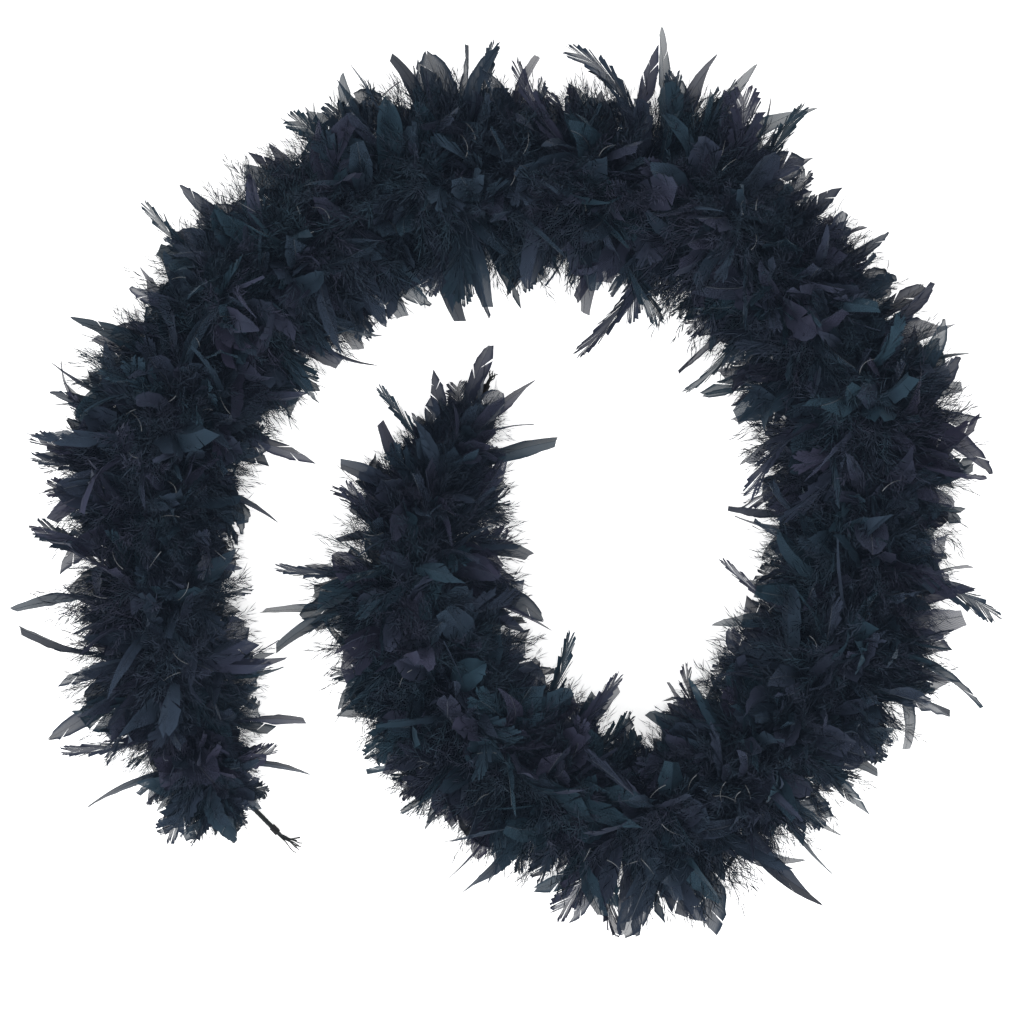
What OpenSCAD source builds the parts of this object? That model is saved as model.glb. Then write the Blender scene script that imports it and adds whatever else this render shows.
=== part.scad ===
// Feather boa: a long core cord with feathers bound on all round it, lying on a
// table in an open spiral. Millimetres, +Z up. The table is z = 0 and the origin
// is on it, under the middle of the boa.

/* [Cord] */
// Height of the core cord's centre above the table
core_h = 44; // [38:1:56]
// Diameter of the core cord
core_d = 4; // [3:0.5:6]
// Diameter of the thread that binds the feathers on
thread_d = 0.6; // [0.4:0.1:1]

/* [Feathers] */
// Number of bunches of feathers
bunches = 48; // [40:1:54]
// Number of feathers in a bunch
bunch_feathers = 13; // [8:1:15]
// Length of the longest feather, from the bound cord to its tip
feather_l = 106; // [80:1:125]
// Width of the widest feather's vane
vane_w = 20; // [12:1:25]
// Thickness of a feather
blade_t = 0.5; // [0.4:0.1:0.8]
// Width of a feather at its root
quill_w = 2; // [1:0.5:2.5]
// Greatest height of the feathers above the table
crown_h = 112; // [92:1:135]

/* [Ends] */
// Length of the thread whipping round each bare end of the cord
whipping_l = 7; // [4:1:12]
// How far a whipping stands out round the cord
whipping_t = 1; // [0.6:0.1:1.5]
// Number of thread turns in a whipping
whipping_turns = 6; // [3:1:9]
// Length of the frayed strands past each end of the cord
tassel_l = 26; // [15:1:32]
// Diameter of one frayed strand
strand_d = 1.2; // [0.8:0.1:1.3]

/* [Hidden] */
// Height of the cord's tips, which lie on the table
tip_h = core_d / 2 + whipping_t;
// Height where the cord starts to drop to each end, a little low so it has no hump there
bend_h = core_h - 3;
// The cord's route, clockwise round the spiral from its outer end to its inner one
ROUTE = [
    [-181, -272, tip_h], [-190, -263, tip_h], [-199, -254, tip_h], [-207, -245, tip_h + 9],
    [-223, -225, bend_h], [-245, -175, core_h], [-260, -120, core_h], [-265, -60, core_h],
    [-260, 0, core_h], [-245, 55, core_h], [-220, 110, core_h], [-180, 155, core_h],
    [-130, 190, core_h], [-75, 215, core_h], [-10, 225, core_h], [55, 225, core_h],
    [120, 210, core_h], [175, 180, core_h], [220, 135, core_h], [245, 85, core_h],
    [260, 25, core_h], [260, -35, core_h], [250, -95, core_h], [230, -150, core_h],
    [195, -195, core_h], [145, -230, core_h], [85, -245, core_h], [30, -230, core_h],
    [-20, -195, core_h], [-55, -150, core_h], [-70, -95, core_h], [-70, -40, core_h],
    [-58, 0, core_h], [-48, 19, bend_h], [-38, 38, tip_h + 9], [-33, 47, tip_h],
    [-27, 59, tip_h], [-21, 71, tip_h],
];
// Rings of the cord's tube in each span of the route, and its sides
ring_steps = 2;
core_sides = 8;
// Bare cord at each end, past the last feather
outer_bare_l = 84;
inner_bare_l = 100;
// The thread is bound on this far past the first and the last feather
bound_past = 12;
// Each feather turns this far round the cord from the one before, so no two meet
golden_angle = 137.508;
// Within this distance of an end, feathers fan out over it
fan_l = 170;
// Lean of the feathers along the cord, positive towards the inner end: at the outer
// end, at the inner end, and at most
outer_fan = -50;
inner_fan = 62;
most_lean = 80;
// Part of the full turn round the cord that the feathers at the inner end keep, over
// the bare cord that drops to the table
inner_spread = 0.6;
// A feather counts as below the cord where it rises less than this share of its length.
// There it is drawn at this share of its length, because a real one curls up.
under_rise = -0.15;
under_share = 0.66;
// Free play between the bound cord and the quills
quill_play = 0.05;
// Thread bindings in each span between two rings
span_bindings = 3;

function unit(v) = v / norm(v);
function clamp(x, low, high) = max(low, min(high, x));

// Catmull-Rom point at fraction t of the span that starts at route point i
function span_point(i, t) =
    let (
        last = len(ROUTE) - 1,
        a = i > 0 ? ROUTE[i - 1] : 2 * ROUTE[0] - ROUTE[1],
        b = ROUTE[i],
        c = ROUTE[i + 1],
        d = i + 2 <= last ? ROUTE[i + 2] : 2 * ROUTE[last] - ROUTE[last - 1]
    )
    (2 * b + (c - a) * t + (2 * a - 5 * b + 4 * c - d) * t ^ 2
        + (3 * b - a - 3 * c + d) * t ^ 3) / 2;

RINGS = [
    for (i = [0 : len(ROUTE) - 2], k = [0 : ring_steps - 1]) span_point(i, k / ring_steps),
    ROUTE[len(ROUTE) - 1],
];
last_ring = len(RINGS) - 1;
// Distance along the cord to each ring
DISTANCES = [
    for (i = 0, s = 0; i <= last_ring; s = s + (i < last_ring ? norm(RINGS[i + 1] - RINGS[i]) : 0),
        i = i + 1) s
];
cord_l = DISTANCES[last_ring];
// The way the cord points at each ring
HEADINGS = [
    for (i = [0 : last_ring]) unit(RINGS[min(i + 1, last_ring)] - RINGS[max(i - 1, 0)])
];

// Value at distance s along the cord of a list that holds one vector for each ring
function along(list, s) = [
    for (axis = [0 : 2]) lookup(s, [for (k = [0 : last_ring]) [DISTANCES[k], list[k][axis]]])
];

feathers = bunches * bunch_feathers;
feather_pitch = (cord_l - outer_bare_l - inner_bare_l) / (feathers - 1);
// Distance from the cord's centre to the outside of the binding
bound_r = core_d / 2 + thread_d + quill_play;
SIZES = rands(0.64, 1, feathers, 11);
WIDTHS = rands(0.6, 1, feathers, 12);
LEANS = rands(6, 28, feathers, 13);
CLIPS = rands(0.06, 0.28, feathers, 14);

function pad(i) = str(i < 10 ? "0" : "", i);
BUNCHES = [for (i = [1 : bunches]) str("feather_bunch_", pad(i))];

// Children set at a point of the cord: x along a heading, z as near up as that allows
module set_on(point, heading) {
    x = unit(heading);
    y = unit(cross([0, 0, 1], x));
    z = cross(x, y);
    multmatrix([
        [x[0], y[0], z[0], point[0]],
        [x[1], y[1], z[1], point[1]],
        [x[2], y[2], z[2], point[2]],
        [0, 0, 0, 1],
    ]) children();
}

// The core cord, one tube swept along its route
module core_cord() {
    function ring(i) =
        let (x = HEADINGS[i], y = unit(cross([0, 0, 1], x)), z = cross(x, y))
        [for (k = [0 : core_sides - 1]) let (a = 360 * k / core_sides)
            RINGS[i] + core_d / 2 * (cos(a) * y + sin(a) * z)];
    n = core_sides;
    color([0.13, 0.15, 0.17])
        polyhedron(
            points = [for (i = [0 : last_ring]) each ring(i)],
            faces = concat(
                [[for (k = [0 : n - 1]) k]],
                [for (i = [0 : last_ring - 1], k = [0 : n - 1])
                    [i * n + k, (i + 1) * n + k, (i + 1) * n + (k + 1) % n, i * n + (k + 1) % n]],
                [[for (k = [n - 1 : -1 : 0]) last_ring * n + k]]
            )
        );
}

// Turns of thread round the cord that hold the quills on
module binding_thread() {
    color([0.08, 0.09, 0.11])
        for (i = [0 : last_ring - 1], k = [0 : span_bindings - 1]) {
            share = (k + 0.5) / span_bindings;
            s = DISTANCES[i] + share * (DISTANCES[i + 1] - DISTANCES[i]);
            if (s > outer_bare_l - bound_past && s < cord_l - inner_bare_l + bound_past)
                set_on(RINGS[i] + share * (RINGS[i + 1] - RINGS[i]), RINGS[i + 1] - RINGS[i])
                    rotate([0, 90, 0])
                    rotate_extrude($fn = 48)
                    translate([(core_d + thread_d) / 2, 0]) circle(d = thread_d, $fn = 24);
        }
}

// Flat outline of a feather, its root at the origin and its tip up the y axis. It
// widens evenly from the quill, so no side is hollow, and its tip is cut on a slant.
function outline(length, width, clip) = [
    [-quill_w / 2, 0],
    [quill_w / 2, 0],
    [width * 0.42, length * 0.38],
    [width * 0.5, length * 0.58],
    [width * 0.4, length * (1 - clip)],
    [width * 0.12, length],
    [-width * 0.2, length * (1 - 0.2 * clip)],
    [-width * 0.46, length * (1 - 1.2 * clip)],
    [-width * 0.5, length * 0.5],
    [-width * 0.3, length * 0.22],
];

// Least lean to one side, 1 or -1, that keeps every point of an outline within room
// of its root, measured square to the cord
function least_lean(shape, side, room) = max([
    for (p = shape) let (b = -side * p[0], h = norm(p))
        room >= h ? 0 : atan2(b, p[1]) + acos(max(room, 0) / h)
]);

// How a feather leans along the cord, in degrees. It leans further where the table or
// the crown would stop an upright one.
function lean(i, s, rise, height, shape) =
    let (
        under = rise < under_rise,
        to_outer = clamp((s - outer_bare_l) / fan_l, 0, 1),
        to_inner = clamp((cord_l - inner_bare_l - s) / fan_l, 0, 1),
        free = under ? LEANS[i] : LEANS[i] + (outer_fan - LEANS[i]) * (1 - to_outer)
            + (inner_fan - LEANS[i]) * (1 - to_inner),
        side = free < 0 ? -1 : 1,
        room = ((rise < 0 ? height : crown_h - height) - blade_t / 2) / max(abs(rise), 0.01)
            - bound_r - quill_w / 2
    )
    side * min(max(abs(free), least_lean(shape, side, room)), most_lean);

module feather(i) {
    s = outer_bare_l + i * feather_pitch;
    to_inner = clamp((cord_l - inner_bare_l - s) / fan_l, 0, 1);
    turn = (i * golden_angle + 180) % 360 - 180;
    held_turn = turn * (inner_spread + (1 - inner_spread) * to_inner);
    rise = cos(held_turn);
    shape = outline(
        feather_l * SIZES[i] * (rise < under_rise ? under_share : 1),
        vane_w * WIDTHS[i],
        CLIPS[i]
    );
    point = along(RINGS, s);
    heading = along(HEADINGS, s);
    tilt = lean(i, s, rise, point[2], shape);
    root = (bound_r + quill_w / 2 * sin(abs(tilt))) / cos(tilt);
    set_on(point, [heading[0], heading[1], 0])
        rotate([held_turn, 0, 0])
        rotate([0, tilt, 0])
        translate([0, 0, root])
        rotate([90, 0, 0])
        linear_extrude(blade_t, center = true)
        polygon(shape);
}

module feather_bunch(b) {
    color(b % 2 == 0 ? [0.11, 0.15, 0.17] : [0.14, 0.13, 0.17])
        for (i = [b * bunch_feathers : (b + 1) * bunch_feathers - 1]) feather(i);
}

// A whipping: turns of thread wound side by side round the cord's bare end
module whipping() {
    turn_l = whipping_l / whipping_turns;
    r = core_d / 2;
    // Each turn rises from a groove to its crown over the first part of its width
    groove_r = r + 0.7 * whipping_t;
    crown_r = r + whipping_t;
    flank = 0.3;
    color([0.08, 0.09, 0.11])
        difference() {
            rotate([0, 90, 0])
                rotate_extrude($fn = 64)
                polygon([
                    [0, 0],
                    for (k = [0 : whipping_turns - 1]) each [
                        [groove_r, k * turn_l],
                        [crown_r, (k + flank) * turn_l],
                        [crown_r, (k + 1 - flank) * turn_l],
                    ],
                    [groove_r, whipping_l],
                    [0, whipping_l],
                ]);
            translate([-1, 0, 0])
                rotate([90, 0, 90])
                linear_extrude(whipping_l + 2)
                polygon([for (k = [0 : core_sides - 1]) let (a = 360 * k / core_sides)
                    r * [cos(a), sin(a)]]);
        }
}

// Frayed strands: one in the middle and a ring of them that splay apart, most of all sideways
module tassel() {
    ring_strands = 6;
    ring_r = core_d / 2 - strand_d / 2;
    splay = 26;
    lift = 2;
    // Every other strand of the ring is worn shorter
    worn_share = 0.6;
    color([0.12, 0.15, 0.15])
        rotate([0, 90, 0]) {
            cylinder(h = tassel_l, d = strand_d, $fn = 16);
            for (k = [0 : ring_strands - 1])
                let (a = 360 * (k + 0.5) / ring_strands)
                translate([ring_r * cos(a), ring_r * sin(a), strand_d / 2 * sin(splay)])
                rotate([-splay * sin(a), lift * cos(a), 0])
                cylinder(h = tassel_l * (k % 2 == 0 ? 1 : worn_share), d = strand_d, $fn = 16);
        }
}

outward_outer = RINGS[0] - RINGS[1];
outward_inner = RINGS[last_ring] - RINGS[last_ring - 1];

module outer_whipping() {
    set_on(RINGS[0] - whipping_l * unit(outward_outer), outward_outer) whipping();
}

module inner_whipping() {
    set_on(RINGS[last_ring] - whipping_l * unit(outward_inner), outward_inner) whipping();
}

module outer_tassel() {
    set_on(RINGS[0], outward_outer) tassel();
}

module inner_tassel() {
    set_on(RINGS[last_ring], outward_inner) tassel();
}

core_cord();
binding_thread();
outer_whipping();
inner_whipping();
outer_tassel();
inner_tassel();
for (b = [0 : bunches - 1]) feather_bunch(b);
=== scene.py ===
"""Looks of the feather boa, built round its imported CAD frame.

A twisted cord lies on a table in an open spiral. Tufts are bound on all round it. A
tuft is a few flat vanes with a spray of down at their foot, and every tuft has a turn,
a lean and a droop of its own. All lengths are in metres.
"""

import logging
import math
from collections.abc import Callable
from dataclasses import dataclass, field
from enum import Enum

import bmesh
import bpy
import numpy as np
from mathutils import Matrix, Vector


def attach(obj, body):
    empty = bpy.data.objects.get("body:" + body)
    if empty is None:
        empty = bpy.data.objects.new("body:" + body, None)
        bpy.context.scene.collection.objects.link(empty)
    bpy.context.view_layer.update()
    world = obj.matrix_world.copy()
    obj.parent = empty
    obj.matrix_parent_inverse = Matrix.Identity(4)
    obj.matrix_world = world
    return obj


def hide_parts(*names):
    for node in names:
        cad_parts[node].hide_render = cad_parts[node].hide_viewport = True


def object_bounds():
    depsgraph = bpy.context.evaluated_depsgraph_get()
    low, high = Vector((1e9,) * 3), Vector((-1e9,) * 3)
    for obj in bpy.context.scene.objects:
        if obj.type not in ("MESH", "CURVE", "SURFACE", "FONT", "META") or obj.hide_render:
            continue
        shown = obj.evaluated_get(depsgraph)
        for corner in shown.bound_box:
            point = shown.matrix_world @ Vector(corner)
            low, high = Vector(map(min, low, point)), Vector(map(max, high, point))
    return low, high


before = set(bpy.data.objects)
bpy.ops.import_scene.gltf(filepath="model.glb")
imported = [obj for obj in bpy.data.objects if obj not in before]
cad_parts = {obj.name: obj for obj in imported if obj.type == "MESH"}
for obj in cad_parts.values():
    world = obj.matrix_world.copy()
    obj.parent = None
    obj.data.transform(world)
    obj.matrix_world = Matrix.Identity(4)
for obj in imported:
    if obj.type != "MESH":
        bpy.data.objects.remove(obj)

CAD_LOW, CAD_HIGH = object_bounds()
log = logging.getLogger("feather_boa")

MM = 0.001
BODY = "root"
# The cord's route in millimetres, clockwise from its outer end to its inner one
ROUTE_MM = [
    (-181, -272, 3), (-190, -263, 3), (-199, -254, 3), (-207, -245, 12), (-223, -225, 41),
    (-245, -175, 44), (-260, -120, 44), (-265, -60, 44), (-260, 0, 44), (-245, 55, 44),
    (-220, 110, 44), (-180, 155, 44), (-130, 190, 44), (-75, 215, 44), (-10, 225, 44),
    (55, 225, 44), (120, 210, 44), (175, 180, 44), (220, 135, 44), (245, 85, 44),
    (260, 25, 44), (260, -35, 44), (250, -95, 44), (230, -150, 44), (195, -195, 44),
    (145, -230, 44), (85, -245, 44), (30, -230, 44), (-20, -195, 44), (-55, -150, 44),
    (-70, -95, 44), (-70, -40, 44), (-58, 0, 44), (-48, 19, 41), (-38, 38, 12),
    (-33, 47, 3), (-27, 59, 3), (-21, 71, 3),
]
# How far the down may stand out past the CAD solids, to either side and upwards
SPARE = (26 * MM, 24 * MM, 9 * MM)
# The turn from one tuft to the next, in degrees, with which no two come to lie together
GOLDEN_TURN = 137.508
UP = np.array([0.0, 0.0, 1.0])
Array = np.ndarray
Sweep = tuple[Array, Array, Array, Array]
Colour = tuple[float, float, float, float]
Socket = bpy.types.NodeSocket


def unit(vectors: Array) -> Array:
    """Scales vectors to length one.

    Args:
        vectors: Vectors along the last axis.

    Returns:
        The unit vectors.
    """
    return vectors / np.linalg.norm(vectors, axis=-1, keepdims=True)


def smooth(low: float, high: float, x: Array) -> Array:
    """Eases from 0 at low to 1 at high.

    Args:
        low: Where the rise starts.
        high: Where the rise ends.
        x: Values to ease.

    Returns:
        The eased values.
    """
    t = np.clip((x - low) / (high - low), 0, 1)
    return t * t * (3 - 2 * t)


class CordLine:
    """The smooth line that the cord follows, with a frame at each distance along it."""

    def __init__(self, route: Array, steps: int = 40) -> None:
        """Runs a Catmull-Rom curve through the route.

        Args:
            route: The route's points.
            steps: Points of the curve in each span of the route.
        """
        ends = np.vstack([2 * route[0] - route[1], route, 2 * route[-1] - route[-2]])
        a, b, c, d = (ends[i : len(ends) - 3 + i, None] for i in range(4))
        t = np.linspace(0, 1, steps, endpoint=False)[None, :, None]
        curve = (
            2 * b + (c - a) * t + (2 * a - 5 * b + 4 * c - d) * t**2
            + (3 * b - a - 3 * c + d) * t**3
        ) / 2
        self.points = np.vstack([curve.reshape(-1, 3), route[-1]])
        lengths = np.linalg.norm(np.diff(self.points, axis=0), axis=1)
        self.distances = np.concatenate([[0], np.cumsum(lengths)])
        self.length = float(self.distances[-1])
        self.headings = unit(np.gradient(self.points, axis=0))

    def _read(self, table: Array, s: Array) -> Array:
        """Reads a table of vectors at distances s."""
        return np.stack([np.interp(s, self.distances, table[:, k]) for k in range(3)], -1)

    def at(self, s: Array) -> Array:
        """Gives the points at distances s."""
        return self._read(self.points, s)

    def heading(self, s: Array) -> Array:
        """Gives the unit directions of the cord at distances s."""
        return unit(self._read(self.headings, s))

    def level(self, s: Array) -> tuple[Array, Array]:
        """Gives the level directions along the cord and to its left at distances s."""
        ahead = unit(self.heading(s) * [1, 1, 0])
        return ahead, np.cross(UP, ahead)


@dataclass
class Pattern:
    """A shape that is copied many times, as plain arrays taken from its mesh."""

    points: Array
    corners: Array
    starts: Array
    uvs: Array

    @classmethod
    def taken_from(cls, piece: bpy.types.Object) -> "Pattern":
        """Reads a modelled piece's mesh and removes the piece.

        Args:
            piece: The modelled piece.

        Returns:
            Its arrays.
        """
        mesh = piece.data
        points = np.empty(len(mesh.vertices) * 3)
        mesh.vertices.foreach_get("co", points)
        corners = np.empty(len(mesh.loops), dtype=np.int32)
        mesh.loops.foreach_get("vertex_index", corners)
        starts = np.empty(len(mesh.polygons), dtype=np.int32)
        mesh.polygons.foreach_get("loop_start", starts)
        uvs = np.empty(len(mesh.loops) * 2)
        mesh.uv_layers[0].data.foreach_get("uv", uvs)
        bpy.data.objects.remove(piece)
        bpy.data.meshes.remove(mesh)
        return cls(points.reshape(-1, 3), corners, starts, uvs.reshape(-1, 2))


@dataclass
class Heap:
    """Many placed copies of patterns that become one mesh."""

    points: list[Array] = field(default_factory=list)
    corners: list[Array] = field(default_factory=list)
    starts: list[Array] = field(default_factory=list)
    uvs: list[Array] = field(default_factory=list)
    dyes: list[Array] = field(default_factory=list)
    point_count: int = 0
    corner_count: int = 0

    def add(self, pattern: Pattern, placed: Array, dye: Array) -> None:
        """Adds copies of a pattern.

        Args:
            pattern: The pattern.
            placed: Points of every copy, copies by points by 3.
            dye: Tone, shade and clearness of every copy, copies by 3.
        """
        copies, size = placed.shape[:2]
        step = np.arange(copies)[:, None]
        self.points.append(placed.reshape(-1, 3))
        self.corners.append((pattern.corners + step * size + self.point_count).ravel())
        self.starts.append((pattern.starts + step * len(pattern.corners) + self.corner_count).ravel())
        self.uvs.append(np.tile(pattern.uvs, (copies, 1)))
        self.dyes.append(np.repeat(np.hstack([dye, np.ones((copies, 1))]), size, axis=0))
        self.point_count += copies * size
        self.corner_count += copies * len(pattern.corners)

    def piece(self, name: str, normals: Array | None = None) -> bpy.types.Object:
        """Makes the mesh object.

        Args:
            name: The piece's name.
            normals: Directions that its points are shaded by, if they aren't its own.

        Returns:
            The piece, linked to the scene.
        """
        mesh = bpy.data.meshes.new(name)
        mesh.vertices.add(self.point_count)
        mesh.vertices.foreach_set("co", np.vstack(self.points).ravel())
        mesh.loops.add(self.corner_count)
        mesh.loops.foreach_set("vertex_index", np.concatenate(self.corners).astype(np.int32))
        starts = np.concatenate(self.starts).astype(np.int32)
        mesh.polygons.add(len(starts))
        mesh.polygons.foreach_set("loop_start", starts)
        mesh.update(calc_edges=True)
        mesh.uv_layers.new(name="blade").data.foreach_set("uv", np.vstack(self.uvs).ravel())
        dye = mesh.attributes.new("dye", "FLOAT_COLOR", "POINT")
        dye.data.foreach_set("color", np.vstack(self.dyes).ravel())
        mesh.shade_smooth()
        if normals is not None:
            mesh.normals_split_custom_set_from_vertices(normals)
        piece = bpy.data.objects.new(name, mesh)
        bpy.context.collection.objects.link(piece)
        return piece


class Bench:
    """The hand tools that shape a new piece: one piece in edit mode at a time."""

    def __init__(self) -> None:
        """Clears the bench."""
        if bpy.context.object and bpy.context.object.mode != "OBJECT":
            bpy.ops.object.mode_set(mode="OBJECT")
        bpy.ops.object.select_all(action="DESELECT")

    def pick(self, wanted: Callable[[Vector], bool]) -> int:
        """Selects the points that a test picks, and the edges and faces they span.

        Args:
            wanted: A test on a point's place.

        Returns:
            How many points are selected.
        """
        mesh = bmesh.from_edit_mesh(bpy.context.object.data)
        mesh.select_mode = {"VERT"}
        for part in (*mesh.faces, *mesh.edges, *mesh.verts):
            part.select = False
        for point in mesh.verts:
            point.select = bool(wanted(point.co))
        mesh.select_flush_mode()
        bmesh.update_edit_mesh(bpy.context.object.data)
        return sum(point.select for point in mesh.verts)

    def start(self) -> None:
        """Opens the new piece for shaping."""
        bpy.ops.object.mode_set(mode="EDIT")
        bpy.ops.mesh.select_mode(type="VERT")

    def done(self) -> bpy.types.Object:
        """Closes the piece and returns it."""
        bpy.ops.object.mode_set(mode="OBJECT")
        return bpy.context.object


class Trim(Enum):
    """How a vane's tip is shaped."""

    SQUARE = "square"
    SLANTED = "slanted"
    POINTED = "pointed"
    PADDLE = "paddle"
    SPLIT = "split"
    SLENDER = "slender"
    FRAYED = "frayed"


@dataclass(frozen=True)
class VaneCut:
    """Shape of one kind of vane, in shares of its length and of its greatest width."""

    trim: Trim
    stem: float
    belly: float
    tip: float
    sweep: float = 0.10
    clefts: tuple[tuple[int, int], ...] = ()
    loose_to: float = 0.0
    frayed_from: float = 9.0
    shaft: float = 0.06
    cup: float = 0.16
    rows: int = 18
    ragged: float = 0.012

    COLUMNS = 4

    def half_width(self, t: float) -> float:
        """Gives the vane's width at share t of its length, as a share of the widest."""
        if t < self.stem:
            return 0.16 + 0.16 * t / max(self.stem, 0.01)
        rise = math.sin(math.pi / 2 * min((t - self.stem) / (self.belly - self.stem), 1))
        fall = max((t - self.belly) / (1 - self.belly), 0)
        return 0.32 + 0.68 * rise - (1 - self.tip) * fall**2

    def model(self, bench: Bench) -> Pattern:
        """Models the vane flat, its root at the origin and its tip up the y axis.

        Args:
            bench: The tools.

        Returns:
            The vane as a pattern of width and length one.
        """
        bpy.ops.mesh.primitive_grid_add(
            x_subdivisions=self.COLUMNS, y_subdivisions=self.rows, size=1, location=(0, 0, 0)
        )
        bench.start()
        bpy.ops.transform.translate(value=(0, 0.5, 0))
        column = 1 / self.COLUMNS
        # The two columns beside the middle one close in on the shaft, which is raised
        bench.pick(lambda p: abs(abs(p.x) - column) < column / 3)
        bpy.ops.transform.resize(value=(self.shaft / 2 / column, 1, 1), center_override=(0, 0, 0))
        bench.pick(lambda p: abs(p.x) < column / 20)
        bpy.ops.transform.translate(value=(0, 0, self.shaft * 0.6))
        bench.pick(lambda p: abs(p.x) > 0.4)
        bpy.ops.transform.translate(value=(0, 0, -self.cup))
        for row in range(self.rows + 1):
            t = row / self.rows
            if bench.pick(lambda p, t=t: abs(p.y - t) < 0.3 / self.rows):
                bpy.ops.transform.resize(value=(self.half_width(t), 1, 1), center_override=(0, 0, 0))
        self._part_barbs()
        self._cut_tip()
        return Pattern.taken_from(bench.done())

    def _part_barbs(self) -> None:
        """Splits the web where it has a cleft or is loose, and sweeps the barbs forward."""
        mesh = bmesh.from_edit_mesh(bpy.context.object.data)
        draw = np.random.default_rng(self.rows + len(self.clefts) + int(self.belly * 100))
        pitch = 1 / self.rows

        def loose(level: float) -> bool:
            """Tells whether the barbs at a level hang apart."""
            return level < self.loose_to - 0.01 or level > self.frayed_from + 0.01

        seams = []
        for edge in mesh.edges:
            a, b = (p.co for p in edge.verts)
            row = round(a.y / pitch)
            outer = max(abs(a.x), abs(b.x))
            if abs(a.y - b.y) > pitch / 3 or outer < 0.03 or edge.is_boundary:
                continue
            side = 1 if a.x + b.x > 0 else -1
            if loose(a.y) or (side, row) in self.clefts:
                seams.append(edge)
        bmesh.ops.split_edges(mesh, edges=seams)
        moves = {}
        for face in mesh.faces:
            middle = face.calc_center_median()
            if abs(middle.x) < 0.04:
                continue
            row = int(middle.y / pitch)
            side = 1 if middle.x > 0 else -1
            thin = 0.62 if loose(middle.y) else 0.0
            shift = 0.0
            if (side, row) in self.clefts:
                shift = 0.45 * pitch
            for point in face.verts:
                reach = min(abs(point.co.x) * 2.2, 1)
                if reach > 0.15:
                    aim = point.co.y + (middle.y - point.co.y) * thin * reach
                    if shift and point.co.y < middle.y:
                        aim += shift * reach
                    moves[point.index, row, side] = (point, aim)
        for point, aim in moves.values():
            point.co.y = aim
        for point in mesh.verts:
            reach = min(abs(point.co.x) * 2, 1) ** 0.8
            more = 1.6 if loose(point.co.y) else 1.0
            point.co.y += self.sweep * reach * more
            if abs(point.co.x) > 0.06:
                point.co.y += draw.normal(0, self.ragged)
                uneven = draw.normal(0, 0.05)
                if loose(point.co.y):
                    uneven += draw.uniform(-0.4, 0.2)
                point.co.x *= 1 + uneven
                point.co.z += draw.normal(0, 0.03)
        bmesh.update_edit_mesh(bpy.context.object.data)

    def _cut_tip(self) -> None:
        """Cuts the tip with straight strokes, as scissors do."""
        strokes = {
            Trim.SQUARE: [((0, 0.97, 0), (0.06, 1, 0)), ((0.30, 0.93, 0), (1, 0.9, 0)),
                          ((-0.32, 0.94, 0), (-1, 0.8, 0))],
            Trim.SLANTED: [((0, 0.96, 0), (0.42, 1, 0)), ((-0.36, 0.9, 0), (-1, 0.25, 0))],
            Trim.PADDLE: [((0, 0.98, 0), (-0.1, 1, 0)), ((0.22, 0.95, 0), (1, 0.75, 0)),
                          ((-0.26, 0.95, 0), (-1, 0.6, 0))],
            Trim.SPLIT: [((0, 0.97, 0), (-0.3, 1, 0))],
        }
        for place, normal in strokes.get(self.trim, []):
            bpy.ops.mesh.select_all(action="SELECT")
            bpy.ops.mesh.bisect(plane_co=place, plane_no=normal, clear_outer=True)


VANES = [
    VaneCut(Trim.SQUARE, stem=0.25, belly=0.72, tip=0.82, loose_to=0.34, clefts=()),
    VaneCut(Trim.SLANTED, stem=0.22, belly=0.66, tip=0.74, loose_to=0.30, clefts=((-1, 14),)),
    VaneCut(Trim.POINTED, stem=0.20, belly=0.56, tip=0.05, loose_to=0.28, clefts=((1, 15),)),
    VaneCut(Trim.PADDLE, stem=0.48, belly=0.84, tip=0.80, loose_to=0.55),
    VaneCut(
        Trim.SPLIT, stem=0.22, belly=0.66, tip=0.60, loose_to=0.36,
        clefts=((1, 10), (-1, 13), (1, 15), (-1, 16)),
    ),
    VaneCut(Trim.SLENDER, stem=0.10, belly=0.50, tip=0.06, shaft=0.16, sweep=0.03),
    VaneCut(
        Trim.FRAYED, stem=0.16, belly=0.55, tip=0.30, loose_to=0.30, frayed_from=0.38, sweep=0.17,
        rows=22,
    ),
    VaneCut(Trim.POINTED, stem=0.30, belly=0.70, tip=0.25, loose_to=0.42, clefts=((1, 14), (-1, 12))),
]
# How often each vane turns up among the proud blades, and among the webs beneath them
BLADE_SHARES = [0.13, 0.13, 0.13, 0.10, 0.10, 0.23, 0.10, 0.08]
WEB_SHARES = [0.14, 0.16, 0.12, 0.02, 0.22, 0.02, 0.20, 0.12]


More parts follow.
